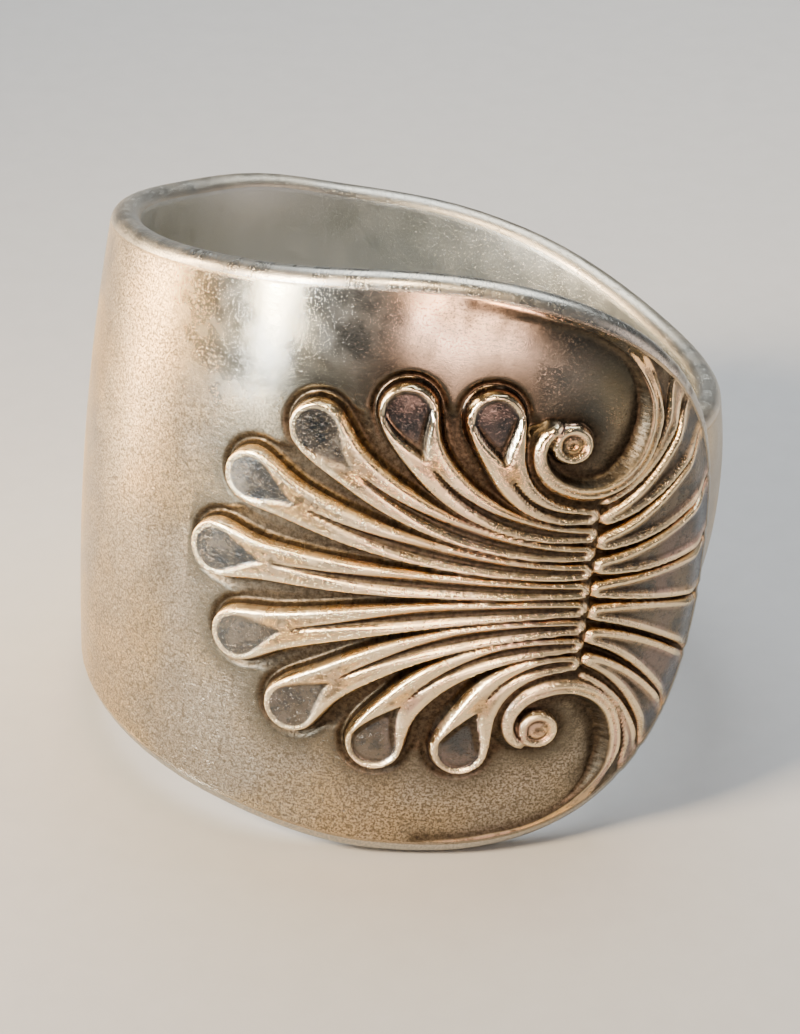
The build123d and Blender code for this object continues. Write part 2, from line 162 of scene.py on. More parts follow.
# Shares of fan_length back from the waist, of fan_half_width, of head_radius and of cup_depth
PETALS = [
    # head along, head up, head radius, bend 1 along, bend 1 up, bend 2 along, bend 2 up, cup
    (1.000, 0.000, 1.000, 0.748, 0.000, 0.406, 0.000, 0.15),
    (0.917, 0.482, 0.962, 0.748, 0.345, 0.404, 0.113, 0.15),
    (0.747, 0.840, 0.962, 0.637, 0.571, 0.357, 0.224, 0.30),
    (0.513, 1.000, 0.962, 0.460, 0.631, 0.284, 0.338, 1.00),
    (0.284, 1.000, 0.925, 0.252, 0.711, 0.213, 0.447, 1.00),
]

rib_spread = 6.35
rib_half_width = 0.96
# Shares of the length from the waist to the tip, of rib_spread and of rib_half_width
RIBS = [
    # root along and up, root half width, bend 1 and bend 2 along and up, tip along and up, tip half width
    (0.069, 0.000, 0.353, 0.327, 0.000, 0.592, 0.000, 0.990, 0.000, 1.000),
    (0.073, 0.120, 0.353, 0.327, 0.135, 0.571, 0.198, 0.939, 0.328, 1.000),
    (0.073, 0.246, 0.353, 0.327, 0.290, 0.541, 0.419, 0.837, 0.638, 0.961),
    (0.065, 0.369, 0.294, 0.296, 0.438, 0.469, 0.598, 0.684, 0.866, 0.725),
    (0.041, 0.450, 0.157, 0.255, 0.535, 0.378, 0.693, 0.500, 1.000, 0.412),
]

scroll_back = 0.90
scroll_up = 4.69
scroll_reach = 5.17
crest_half_width = 0.15
crest_slope = 0.50
# Shares of scroll_reach, of crest_half_width and of crest_slope. The second and the third outer slope are
# narrower than the part's, so that no knob stands beside the disc in the fine mesh.
SCROLL = [
    # turn in degrees, distance of the crest from the eye, half width of the crest, outer slope
    (95.0, 0.112, 0.300, 0.100),
    (135.0, 0.138, 0.500, 0.160),
    (180.0, 0.168, 0.600, 0.500),
    (225.0, 0.208, 0.700, 0.920),
    (270.0, 0.262, 0.812, 1.000),
    (296.0, 0.315, 0.875, 0.920),
    (326.0, 0.373, 0.938, 0.760),
    (360.0, 0.435, 1.000, 0.680),
    (385.0, 0.503, 1.000, 0.760),
    (404.0, 0.571, 1.000, 0.880),
    (419.0, 0.623, 1.000, 0.880),
    (434.0, 0.662, 0.938, 0.720),
    (449.0, 0.708, 0.800, 0.540),
    (462.0, 0.760, 0.600, 0.420),
    (475.0, 0.863, 0.400, 0.320),
    (487.0, 1.000, 0.200, 0.200),
]


def ease(value):
    """Smooth step from 0 at 0 to 1 at 1."""
    held = np.clip(value, 0.0, 1.0)
    return held * held * (3 - 2 * held)


def angle_of(along):
    """Angle round the ring, in radians, of a flat length along the strip."""
    return math.radians(front_deg) + along / strip_radius


def along_of(degrees):
    """Flat length along the strip of an angle round the ring."""
    return (math.radians(degrees) - math.radians(front_deg)) * strip_radius


def inner_radius(along):
    """Radius of the inside of the strip: the round bore, then the lifted tip."""
    degrees = np.degrees(angle_of(along))
    return bore_radius + tip_lift * ease((degrees - lift_start_deg) / (lift_end_deg - lift_start_deg))


def middle_wall(along):
    """Thickness of the strip on its middle line."""
    degrees = np.degrees(angle_of(along))
    return wall - shank_thinning * ease((shank_end_deg + thinning_deg - degrees) / thinning_deg)


def strip_half_width(along):
    """Half the width of the narrowing handle, by a smooth curve through the table."""
    knots = np.array([along_of(row[0]) for row in STRIP_WIDTHS])
    widths = np.array([row[1] for row in STRIP_WIDTHS]) * tip_half_width
    slopes = np.gradient(widths, knots)
    slopes[-1] = 0.0
    cell = int(np.clip(np.searchsorted(knots, along) - 1, 0, len(knots) - 2))
    run = knots[cell + 1] - knots[cell]
    share = (along - knots[cell]) / run
    start = widths[cell] * (2 * share**3 - 3 * share**2 + 1)
    start += slopes[cell] * run * (share**3 - 2 * share**2 + share)
    stop = widths[cell + 1] * (3 * share**2 - 2 * share**3)
    stop += slopes[cell + 1] * run * (share**3 - share**2)
    return start + stop


def oval(share, squareness):
    """Half width of an oval end, as a share, at a share of its length."""
    return max(0.0, 1.0 - abs(share) ** squareness) ** (1 / squareness)


def curve(points):
    """Points along a cubic curve with two bends, given as four (along, up) pairs."""
    share = np.linspace(0.0, 1.0, curve_points)[:, None]
    rest = 1 - share
    start, first, second, stop = [np.array(point, float) for point in points]
    return start * rest**3 + 3 * first * share * rest**2 + 3 * second * share**2 * rest + stop * share**3


def lengths_of(path):
    """Length run along a path at each of its points."""
    return np.concatenate([[0.0], np.cumsum(np.hypot(*np.diff(path, axis=0).T))])


def nearest(path, along, up):
    """Distance from each point to a path, the length along the path there, and the side."""
    start, run = path[:-1], np.diff(path, axis=0)
    length = np.hypot(run[:, 0], run[:, 1])
    reach_a = along[:, None] - start[:, 0]
    reach_u = up[:, None] - start[:, 1]
    share = np.clip((reach_a * run[:, 0] + reach_u * run[:, 1]) / length**2, 0.0, 1.0)
    off_a = reach_a - share * run[:, 0]
    off_u = reach_u - share * run[:, 1]
    gap = np.hypot(off_a, off_u)
    best = gap.argmin(axis=1)
    row = np.arange(len(along))
    travelled = lengths_of(path)
    side = np.sign(run[best, 0] * off_u[row, best] - run[best, 1] * off_a[row, best])
    return gap[row, best], travelled[best] + share[row, best] * length[best], side


def petal_path(number):
    """Centre line of one petal from its head to its root at the waist."""
    head_a, head_u, _, first_a, first_u, second_a, second_u, _ = PETALS[number]
    shares = ((head_a, head_u), (first_a, first_u), (second_a, second_u))
    points = [(waist - a * fan_length, u * fan_half_width) for a, u in shares]
    return curve(points + [(waist - root_gap, number * root_pitch)])


def petal_half_width(number, travelled):
    """Half width of one petal at a length from the middle of its head: a round head and a narrowing body."""
    share = np.clip(travelled / lengths_of(petal_path(number))[-1], 0.0, 1.0)
    body = root_half_width + (body_half_width - root_half_width) * (1 - share) ** body_narrowing
    return body + (PETALS[number][2] * head_radius - body) * np.exp(-((travelled / neck_run) ** 2))


def rib_path(rib):
    """Centre line of one rib from the waist to the tip's edge."""
    shares = (rib[0:2], rib[3:5], rib[5:7], rib[7:9])
    return curve([(waist + a * (tip_length - waist), u * rib_spread) for a, u in shares])


def rib_half(rib, share):
    """Half width of one rib's foot at a share of its length."""
    return rib_half_width * (rib[2] + (rib[9] - rib[2]) * share)


def scroll_path():
    """Crest line of the scroll, with its half width and the width of its outer slope at each point."""
    table = np.array(SCROLL)
    turns = np.linspace(table[0, 0], table[-1, 0], crest_points)
    reach = scroll_reach * np.interp(turns, table[:, 0], table[:, 1])
    turned = np.radians(turns)
    eye = waist - scroll_back
    path = np.stack([eye + reach * np.cos(turned), scroll_up + reach * np.sin(turned)], axis=1)
    half = crest_half_width * np.interp(turns, table[:, 0], table[:, 2])
    return path, half, crest_slope * np.interp(turns, table[:, 0], table[:, 3])


def depths(along, up):
    """How far inside each petal and rib a point is, and the length run along each."""
    found = []
    for number in range(len(PETALS)):
        gap, travelled, _ = nearest(petal_path(number), along, up)
        found.append((petal_half_width(number, travelled) - gap, travelled))
    for rib in RIBS:
        path = rib_path(rib)
        gap, travelled, _ = nearest(path, along, up)
        found.append((rib_half(rib, travelled / lengths_of(path)[-1]) - gap, travelled))
    return found


def petal_form(number, depth, travelled):
    """Height of one petal: a rounded flank, a cup in its head and a slit between two ridges behind."""
    half = petal_half_width(number, travelled)
    share = np.clip(travelled / lengths_of(petal_path(number))[-1], 0.0, 1.0)
    flank = side_run + (root_side_run - side_run) * share
    top = petal_height + head_height * np.exp(-travelled / head_run)
    cup = ease((depth - cup_rim - cup_point * travelled) / cup_side_run)
    opened = slit_point + slit_half_width * ease((travelled - slit_start) / slit_opening)
    width = np.clip(opened, slit_point, np.maximum(half - slit_flank_share * flank, slit_point))
    gap = np.maximum(half - depth, 0.0)
    slit = ease((travelled - slit_start) / slit_fade) * (1 - ease(gap / width))
    value = (top + groove_depth) * ease(depth / flank) - groove_depth
    return value - cup_depth * PETALS[number][7] * cup - slit_depth * slit, np.maximum(cup, slit)


def rib_form(depth):
    """Height of one rib, with a steep flank and a shallow hollow inside its rim."""
    hollow = ease((depth - rib_rim) / rib_hollow_run)
    side = (rib_height + groove_depth) * ease(depth / rib_side_run)
    return side - groove_depth - rib_hollow * hollow, hollow


def carved(along, up):
    """Height of the petals and ribs over the plain strip, and how far their hollows are sunk."""
    inside = np.full(along.shape, -far)
    height, sunk, groove = np.zeros(along.shape), np.zeros(along.shape), np.zeros(along.shape)
    for number, (depth, travelled) in enumerate(depths(along, up)):
        petal = number < len(PETALS)
        value, sunken = petal_form(number, depth, travelled) if petal else rib_form(depth)
        nearer = depth > inside
        height = np.where(nearer, value, height)
        sunk = np.where(nearer, sunken, sunk)
        reach = groove_reach + (fan_groove_reach - groove_reach) * ease(travelled / fan_start)
        groove = np.maximum(groove, 1 - ease(-depth / reach))
        inside = np.maximum(inside, depth)
    within = inside > 0
    return np.where(within, height, -groove_depth * groove), np.where(within, sunk, 0.0)


def relief(along, up):
    """Height of the ornament over the plain strip, the same above and below the middle."""
    along = np.asarray(along, float)
    up = np.abs(np.asarray(up, float))
    height, _ = carved(along, up)
    return np.maximum(np.maximum(height, scroll(along, up)), stem(along, up))


def form_depth(along, up):
    """How far inside the ornament's forms a flat point is, negative outside them."""
    up = np.abs(up)
    inside = np.max([depth for depth, _ in depths(along, up)], axis=0)
    path, half, slope = scroll_path()
    gap, travelled, side = nearest(path, along, up)
    total = lengths_of(path)
    outer_slope = slope_shown * np.interp(travelled, total, slope)
    reach = np.interp(travelled, total, half) + np.where(side < 0, outer_slope, 0.0)
    eye_gap = disc_radius + disc_side_run - np.hypot(along - waist + scroll_back, up - scroll_up)
    return np.maximum(np.maximum(inside, reach - gap), eye_gap)


def scroll(along, up):
    """The scroll beside the waist: a dished disc with an eye, and a sharp crest that winds out of it."""
    path, half_widths, slopes = scroll_path()
    gap, travelled, side = nearest(path, along, up)
    total = lengths_of(path)
    half = np.interp(travelled, total, half_widths)
    slope = np.interp(travelled, total, slopes)
    fall = np.clip((gap - half) / slope, 0.0, 1.0)
    outward = (1 - slope_fall * fall * (2 - fall)) * (1 - ease((gap - half - slope) / scroll_edge_run))
    inward = 1 - ease((gap - half) / scroll_inner_run)
    crest = scroll_height * np.where(side < 0, outward, inward)
    crest = crest - crest_channel * (1 - ease(gap / (channel_share * half)))
    crest = crest - start_fall * (1 - ease(travelled / start_run))
    crest = crest - scroll_height * ease((travelled - total[-1]) / end_run + 1)
    distance = np.hypot(along - waist + scroll_back, up - scroll_up)
    disc = disc_height * (1 - ease((distance - disc_radius) / disc_side_run))
    disc = disc - dish_depth * (1 - ease((distance - dish_radius) / dish_run))
    disc = disc + eye_height * np.exp(-(((distance - eye_radius) / eye_half_width) ** 2))
    value = np.maximum(crest, disc)
    return np.where(value > least_relief, value, -far)


def stem(along, up):
    """The narrow beaded stem that stands across the waist."""
    gap = np.abs(along - waist)
    beads = 1 + bead_share * np.cos(2 * math.pi * up / root_pitch)
    ends = 1 - ease((up - stem_half_length) / stem_side_run)
    value = stem_height * beads * (1 - ease((gap - stem_half_width / 2) / stem_side_run)) * ends
    return np.where(value > least_relief, value, -far)


# The fine mesh of the band: rows along the strip, columns across it, then lines round the rims and the inside
carving_start = waist - fan_length - head_radius - groove_reach
carving_margin = 0.2
carved_half_width = 7.0
most_carved_share = 0.93
tip_side_start = -9.0
fine_columns = 106
margin_columns = 12
fine_rows = 108
tip_rows = 176
shank_rows = 56
end_rows = 8
# Degrees round the rim, from the outer face to the inside
RIM_TURNS = (78.0, 60.0, 42.0, 24.0, 6.0, -12.0, -30.0, -50.0, -70.0)
inner_columns = 8
# What `outward` reads on the rims, between the inside's 0 and the outer face's 1
rim_outward = 0.5
least_width = 1e-9
tip_rounding = 8
end_rounding = 2
wide_cells = 6
tight_cells = 2
# The part's facets cut across its round forms, so the fine mesh is drawn in by this share to stay in its box
drawn_in = 0.0025


def stations():
    """Rows along the strip: place and half width of the outer face, then of the rim's outermost line."""
    rows = []
    start = along_of(shank_end_deg) + end_round
    for turn in np.linspace(90.0, 0.0, end_rows + 1)[:-1]:
        share = math.sin(math.radians(turn)) if turn < 90.0 else 1.0
        width = strip_half_width(start)
        narrow = oval(share, end_squareness)
        rows.append((start - (end_round - rim_radius) * share, (width - rim_radius) * narrow,
                     start - end_round * share, width * narrow))
    shank = np.linspace(start, carving_start, shank_rows)
    front = np.linspace(carving_start, 0.0, fine_rows)
    for along in np.append(shank, front[1:]):
        width = strip_half_width(along)
        rows.append((along, width - rim_radius, along, width))
    for turn in np.linspace(0.0, 90.0, tip_rows + 1)[1:]:
        share = math.sin(math.radians(turn)) if turn < 90.0 else 1.0
        narrow = oval(share, tip_squareness)
        rows.append(((tip_length - rim_radius) * share, (tip_half_width - rim_radius) * narrow,
                     tip_length * share, tip_half_width * narrow))
    return np.array(rows)


def blurred(values, cells):
    """The values softened over a number of grid cells each way."""
    reach = np.arange(-3 * cells, 3 * cells + 1)
    weight = np.exp(-0.5 * (reach / cells) ** 2)
    weight /= weight.sum()
    for axis in (0, 1):
        padding = [(3 * cells, 3 * cells) if side == axis else (0, 0) for side in (0, 1)]
        padded = np.pad(values, padding, mode="edge")
        values = np.apply_along_axis(lambda line: np.convolve(line, weight, mode="valid"), axis, padded)
    return values


def place(along, up, radius):
    """Points of the upright ring at flat positions and radii from its axis."""
    angle = angle_of(along)
    return np.stack([radius * np.sin(angle), -radius * np.cos(angle), up + 0 * angle], axis=-1)


def both_halves(values, sign=1.0):
    """Values of the strip's upper half set out over its whole width, lower half first."""
    return np.concatenate([sign * values[:, :0:-1], values], axis=1)


def carved_half(rows, half_along, half_up):
    """Height, sunk share and depth inside the forms over the strip's upper half."""
    live = rows[:, 0] > carving_start - carving_margin
    live_along, live_up = half_along[live].ravel(), half_up[live].ravel()
    height, sunk = np.zeros(half_up.shape), np.zeros(half_up.shape)
    inside = np.full(half_up.shape, -far)
    height[live] = relief(live_along, live_up).reshape(half_up[live].shape)
    sunk[live] = carved(live_along, live_up)[1].reshape(half_up[live].shape)
    inside[live] = form_depth(live_along, live_up).reshape(half_up[live].shape)
    gap = np.full(half_up.shape, far)
    tip_side = rows[:, 0] > tip_side_start
    near, _, _ = nearest(rows[tip_side, :2], half_along[tip_side].ravel(), half_up[tip_side].ravel())
    gap[tip_side] = near.reshape(half_up[tip_side].shape)
    height *= edge_relief + (1 - edge_relief) * ease(gap / edge_fade)
    return height, sunk, inside


def band_grid():
    """Points of the whole loop for every row, with what the material reads at each of them."""
    rows = stations()
    share = np.minimum(carved_half_width / np.maximum(rows[:, 1], least_width), most_carved_share)
    inner = np.linspace(0.0, 1.0, fine_columns + 1)[None, :] * share[:, None]
    margin = share[:, None] + np.linspace(0.0, 1.0, margin_columns + 1)[None, 1:] * (1 - share[:, None])
    side = np.concatenate([inner, margin], axis=1)
    half_up = side * rows[:, 1:2]
    half_along = np.repeat(rows[:, :1], side.shape[1], axis=1)
    height, sunk, inside = [both_halves(values) for values in carved_half(rows, half_along, half_up)]

    across = both_halves(side, -1.0)
    up = both_halves(half_up, -1.0)
    along = np.repeat(rows[:, :1], up.shape[1], axis=1)
    tip_share = np.clip(along / (tip_length - rim_radius), 0.0, 1.0)
    end_share = np.clip((rows[0, 0] + end_round - rim_radius - along) / (end_round - rim_radius), 0.0, 1.0)
    drop = edge_fall * (1 - (1 - across**2) * (1 - tip_share**tip_rounding) * (1 - end_share**end_rounding))
    inner_line = inner_radius(rows[:, 0])
    rim_half = (middle_wall(rows[:, 0]) - edge_fall) / 2
    grid = {
        "points": [place(along, up, inner_radius(along) + middle_wall(along) - drop + height)],
        "flat": [np.stack([along, up], axis=-1)],
        "hollow": [blurred(height, wide_cells) - height],
        "crease": [blurred(height, tight_cells) - height],
        "inside": [inside],
        "sunk": [sunk],
        "outward": [np.ones(up.shape)],
    }

    def add(line_along, line_up, radius, outward):
        """One more line of the loop, off the outer face, with no ornament on it."""
        grid["points"].append(place(line_along, line_up, radius)[:, None])
        grid["flat"].append(np.stack([line_along, line_up], axis=-1)[:, None])
        plain = {"hollow": 0.0, "crease": 0.0, "inside": -far, "sunk": 0.0, "outward": outward}
        for name, value in plain.items():
            grid[name].append(np.full((len(rows), 1), value))

    def add_rim(sign, turns):
        """The round rim of the upper or the lower edge."""
        for turn in turns:
            cosine, sine = math.cos(math.radians(turn)), math.sin(math.radians(turn))
            rim_along = rows[:, 0] + (rows[:, 2] - rows[:, 0]) * cosine
            rim_up = sign * (rows[:, 1] + (rows[:, 3] - rows[:, 1]) * cosine)
            radius = inner_line + rim_half * (1 + sine) + height[:, -1] * max(0.0, sine)
            add(rim_along, rim_up, radius, rim_outward)

    add_rim(1.0, RIM_TURNS)
    for step in np.linspace(1.0, -1.0, inner_columns + 1):
        add(rows[:, 0], step * rows[:, 1], inner_line, 0.0)
    add_rim(-1.0, RIM_TURNS[::-1])
    return {name: np.concatenate(parts, axis=1) for name, parts in grid.items()}


def turned_matrix():
    """The least turn that takes the upright ring's axis to the axis it rests at."""
    return Vector((0, 0, 1)).rotation_difference(ring_axis).to_matrix()


def band_object():
    """The band as one closed mesh, with what its material reads kept on its points."""
    grid = band_grid()
    rows, columns = grid["sunk"].shape
    corners = (grid["points"].reshape(-1, 3) @ np.array(turned_matrix()).T + np.array(ring_middle)) * MM
    box_middle = (np.array(cad_box[0]) + np.array(cad_box[1])) / 2
    corners = box_middle + (corners - box_middle) * (1 - drawn_in)
    index = np.arange(rows * columns).reshape(rows, columns)
    following = np.roll(index, -1, axis=1)
    quads = np.stack([index[:-1], index[1:], following[1:], following[:-1]], axis=-1).reshape(-1, 4)
    mesh = bpy.data.meshes.new("silver_band_fine")
    mesh.from_pydata(corners.tolist(), [], quads.tolist())
    for name in ("hollow", "crease", "outward", "inside", "sunk"):
        layer = mesh.attributes.new(name, "FLOAT", "POINT")
        layer.data.foreach_set("value", grid[name].ravel().astype(np.float32))
    layer = mesh.attributes.new("flat", "FLOAT_VECTOR", "POINT")
    depth = face_spacing * grid["outward"].reshape(-1, 1)
    layered = np.concatenate([grid["flat"].reshape(-1, 2), depth], axis=1)
    layer.data.foreach_set("vector", layered.ravel().astype(np.float32))
    mesh.validate(clean_customdata=False)
    mesh.shade_smooth()
    band = bpy.data.objects.new("silver_band_fine", mesh)
    bpy.context.scene.collection.objects.link(band)
    return band


def feed(tree, socket, value):
    """A node's socket set to a value, or fed by another node's socket."""
    if isinstance(value, bpy.types.NodeSocket):
        tree.links.new(value, socket)
    else:
        socket.default_value = value


def figure(tree, operation, first, second):
    """Result of a math node with two values."""
    node = tree.nodes.new("ShaderNodeMath")
    node.operation = operation
    feed(tree, node.inputs[0], first)
    feed(tree, node.inputs[1], second)
    return node.outputs[0]


def wandering(tree, value, texture, reach):
    """A value moved up and down by a noise texture, over a reach in the value's own unit."""
    return figure(tree, "ADD", value, figure(tree, "MULTIPLY", figure(tree, "SUBTRACT", texture, 0.5), reach))


def ramp(tree, value, row):
    """A share that changes smoothly from a row's third number to its fourth, between its first two."""
    node = tree.nodes.new("ShaderNodeMapRange")
    node.interpolation_type = "SMOOTHSTEP"
    tree.links.new(value, node.inputs["Value"])
    for name, number in zip(("From Min", "From Max", "To Min", "To Max"), row):
        node.inputs[name].default_value = number
    return node.outputs["Result"]


def blend_colour(tree, share, first, second):
    """One colour blended into another by a share."""
    node = tree.nodes.new("ShaderNodeMix")
    node.data_type = "RGBA"
    feed(tree, node.inputs[0], share)
    feed(tree, node.inputs[6], first)
    feed(tree, node.inputs[7], second)
    return node.outputs[2]


def noise(tree, place_socket, scale, detail, rough):
    """A noise texture's value, with its scale in features to the place's unit."""
    node = tree.nodes.new("ShaderNodeTexNoise")
    tree.links.new(place_socket, node.inputs["Vector"])
    node.inputs["Scale"].default_value = scale
    node.inputs["Detail"].default_value = detail
    node.inputs["Roughness"].default_value = rough
    return node.outputs["Fac"]


def mapped(tree, place_socket, scale, turn):
    """A place stretched along the strip and across it, and turned in its plane."""
    node = tree.nodes.new("ShaderNodeMapping")
    tree.links.new(place_socket, node.inputs["Vector"])
    node.inputs["Scale"].default_value = scale
    node.inputs["Rotation"].default_value = (0.0, 0.0, turn)
    return node.outputs[0]


# Distance in the noise's space between the inside of the band and its outside
face_spacing = 4.0
# Noise over the flat strip: features to the millimetre, detail and roughness
NOISES = {
    "broad": (0.22, 3.0, 0.55),
    "middle": (1.1, 4.0, 0.6),
    "grain": (6.0, 4.0, 0.7),
    "fine": (13.0, 3.0, 0.75),
    "blots": (2.6, 5.0, 0.7),
}
# Hairline scratches: scale along, across and through the strip, turn, then the noise as above
SCRATCHES = {
    "hair": ((0.35, 3.2, 1.0), 0.0, (9.0, 2.0, 0.5)),
    "hair_across": ((2.6, 0.5, 1.0), 0.5, (7.0, 2.0, 0.5)),
}
# Colours of the old silver: red, green, blue and alpha
plain_gold = (0.62, 0.46, 0.26, 1)
plain_grey = (0.49, 0.42, 0.32, 1)
speckle_brown = (0.12, 0.095, 0.065, 1)
shade_brown = (0.11, 0.095, 0.068, 1)
form_gold = (0.93, 0.58, 0.24, 1)
form_brown = (0.58, 0.41, 0.24, 1)
form_pink = (0.70, 0.43, 0.38, 1)
blot_brown = (0.20, 0.155, 0.10, 1)
grain_brown = (0.16, 0.12, 0.07, 1)
# A darker grey laid in the sunk cups, slits and rib hollows
disc_grey = (0.072, 0.080, 0.082, 1)
inner_silver = (0.57, 0.58, 0.55, 1)
patina_dark = (0.025, 0.018, 0.011, 1)
patina_pale = (0.08, 0.058, 0.036, 1)
# A painted highlight with wear: the bright colour laid on the forms' ridges
wear_and_highlight_silver = (0.97, 0.78, 0.48, 1)
# Shares that change smoothly while a reading goes from one value to another
SHARES = {
    # name: reading at the start and at the end, share at the start and at the end
    "polished_up": (3.0, 6.5, 0.0, 1.0),
    "polished_along": (-11.0, -6.0, 0.0, 1.0),
    "shade": (-1.5, -0.1, 0.0, 1.0),
    "shade_low_down": (-8.0, -5.5, 0.45, 1.0),
    "on_forms": (-0.05, 0.05, 0.0, 1.0),
    "hollow_dirt": (0.02, 0.14, 0.0, 0.88),
    "crease_dirt": (0.007, 0.032, 0.0, 0.96),
    "groove": (-0.42, -0.08, 0.0, 1.0),
    "groove_off_forms": (0.0, 1.0, 0.84, 0.0),
    # Painted highlight with wear on the forms' convex ridges
    "wear_and_highlight": (-0.008, -0.035, 0.0, 1.0),
    "plain_tone": (0.38, 0.62, 0.0, 1.0),
    "fine_speckle": (0.56, 0.42, 0.0, 1.0),
    "coarse_speckle": (0.50, 0.40, 0.0, 0.85),
    "speckle_off_polish": (0.0, 1.0, 1.0, 0.10),
    "speckle_along": (-16.5, -11.5, 0.12, 1.0),
    "form_tone": (0.38, 0.60, 0.0, 1.0),
    "form_blush": (0.50, 0.60, 0.0, 0.55),
    "form_blots": (0.53, 0.60, 0.0, 0.75),
    "form_grain": (0.44, 0.34, 0.0, 0.80),
    # Darker grey in the sunk cups, slits and rib hollows, where the middle noise allows
    "sunk_grey": (0.62, 0.36, 0.82, 1.0),
    "outside": (0.4, 0.6, 0.0, 1.0),
    "patina_tone": (0.35, 0.65, 0.0, 1.0),
    "roughness": (0.30, 0.70, 0.30, 0.42),
    "pits": (0.44, 0.32, 0.0, 1.0),
    "hair": (0.36, 0.30, 0.0, 1.0),
    "hair_across": (0.34, 0.29, 0.0, 1.0),
    "bump_off_polish": (0.0, 1.0, 1.0, 0.10),
    "bump_outside": (0.2, 0.8, 0.3, 1.0),
}
polish_wander = 6.0
shade_wander = 0.9
dirt_wander = 0.08
shade_strength = 0.92
sunk_grey_strength = 0.97
# How far the sunk cups, slits and rib hollows turn to the darker grey
dirt_strength = 0.97
# How far the painted highlight with wear lightens the ridges
wear_and_highlight_strength = 0.80
dirt_roughness = 0.10
form_gloss = 0.10
polish_gloss = 0.15
pit_height = -0.80
hair_height = -0.35
grain_height = 0.90
bump_strength = 0.45
bump_distance = 0.00004


def silver_material():
    """Old silver: bright ridges with painted highlights and wear, dark brown grooves, fine pits and hairline
    scratches.
    """
    material = bpy.data.materials.new("old_silver")
    material.use_nodes = True
    tree = material.node_tree
    tree.nodes.clear()
    out = tree.nodes.new("ShaderNodeOutputMaterial")
    shader = tree.nodes.new("ShaderNodeBsdfPrincipled")
    tree.links.new(shader.outputs[0], out.inputs[0])
    read = {}
    for name in ("hollow", "crease", "outward", "inside", "sunk", "flat"):
        node = tree.nodes.new("ShaderNodeAttribute")
        node.attribute_name = name
        read[name] = node.outputs["Vector" if name == "flat" else "Fac"]
    split = tree.nodes.new("ShaderNodeSeparateXYZ")
    tree.links.new(read["flat"], split.inputs[0])
    along, up = split.outputs[0], split.outputs[1]
    for name, values in NOISES.items():
        read[name] = noise(tree, read["flat"], *values)
    for name, (scale, turn, values) in SCRATCHES.items():
        read[name] = noise(tree, mapped(tree, read["flat"], scale, turn), *values)

    def times(first, second):
        """Product of two values."""
        return figure(tree, "MULTIPLY", first, second)

    def share(value, name):
        """The named share of the table, from a reading."""
        return ramp(tree, value, SHARES[name])

    def mixed(amount, first, second):
        """Two colours mixed."""
        return blend_colour(tree, amount, first, second)

    # Where the polished upper front is, the shade about the ornament, and the forms themselves
    polished = share(wandering(tree, up, read["broad"], polish_wander), "polished_up")
    polished = times(times(polished, share(along, "polished_along")), read["outward"])
    shade = share(wandering(tree, read["inside"], read["middle"], shade_wander), "shade")
    shade = times(shade, share(up, "shade_low_down"))
    on_forms = share(read["inside"], "on_forms")

    # Where dirt has stayed, in hollows, creases and the groove about the forms, and a painted highlight with
    # wear along the forms' ridges
    hollow_dirt = share(wandering(tree, read["hollow"], read["middle"], dirt_wander), "hollow_dirt")
    crease_dirt = share(read["crease"], "crease_dirt")
    groove_dirt = times(share(read["inside"], "groove"), share(on_forms, "groove_off_forms"))
    dirt = figure(tree, "MAXIMUM", crease_dirt, figure(tree, "MAXIMUM", hollow_dirt, groove_dirt))
    # Painted highlight, partly wear: the convex ridges of the forms are lightened
    wear_and_highlight = times(share(read["crease"], "wear_and_highlight"), on_forms)

    plain = mixed(share(read["broad"], "plain_tone"), plain_gold, plain_grey)
    coarse_speckle = share(read["grain"], "coarse_speckle")
    speckle = figure(tree, "MAXIMUM", share(read["fine"], "fine_speckle"), coarse_speckle)
    speckle = times(times(speckle, share(polished, "speckle_off_polish")), share(along, "speckle_along"))
    plain = mixed(speckle, plain, speckle_brown)
    plain = mixed(times(shade, shade_strength), plain, shade_brown)
    form = mixed(share(read["middle"], "form_tone"), form_gold, form_brown)
    form = mixed(share(read["broad"], "form_blush"), form, form_pink)
    form = mixed(share(read["blots"], "form_blots"), form, blot_brown)
    form = mixed(share(read["grain"], "form_grain"), form, grain_brown)
    # A darker grey laid in the sunk cups, slits and rib hollows
    sunk_grey = times(read["sunk"], share(read["middle"], "sunk_grey"))
    form = mixed(times(sunk_grey, sunk_grey_strength), form, disc_grey)
    clean = mixed(share(read["outward"], "outside"), inner_silver, mixed(on_forms, plain, form))
    patina = mixed(share(read["grain"], "patina_tone"), patina_dark, patina_pale)
    colour = mixed(times(dirt, dirt_strength), clean, patina)
    # The painted highlight with wear mixed in on the ridges
    colour = mixed(times(wear_and_highlight, wear_and_highlight_strength), colour, wear_and_highlight_silver)
    tree.links.new(colour, shader.inputs["Base Color"])

    rough = figure(tree, "ADD", share(read["middle"], "roughness"), times(dirt, dirt_roughness))
    rough = figure(tree, "SUBTRACT", rough, times(on_forms, form_gloss))
    rough = figure(tree, "SUBTRACT", rough, times(polished, polish_gloss))
    tree.links.new(rough, shader.inputs["Roughness"])
    shader.inputs["Metallic"].default_value = 1.0

    pits = times(share(read["fine"], "pits"), pit_height)
    hairs = figure(tree, "ADD", share(read["hair"], "hair"), share(read["hair_across"], "hair_across"))
    surface = figure(tree, "ADD", pits, times(hairs, hair_height))
    surface = figure(tree, "ADD", surface, times(read["grain"], grain_height))
    surface = times(surface, share(polished, "bump_off_polish"))
    surface = times(surface, share(read["outward"], "bump_outside"))
    bump = tree.nodes.new("ShaderNodeBump")
    bump.inputs["Strength"].default_value = bump_strength
    bump.inputs["Distance"].default_value = bump_distance
    tree.links.new(surface, bump.inputs["Height"])
    tree.links.new(bump.outputs[0], shader.inputs["Normal"])
    return material


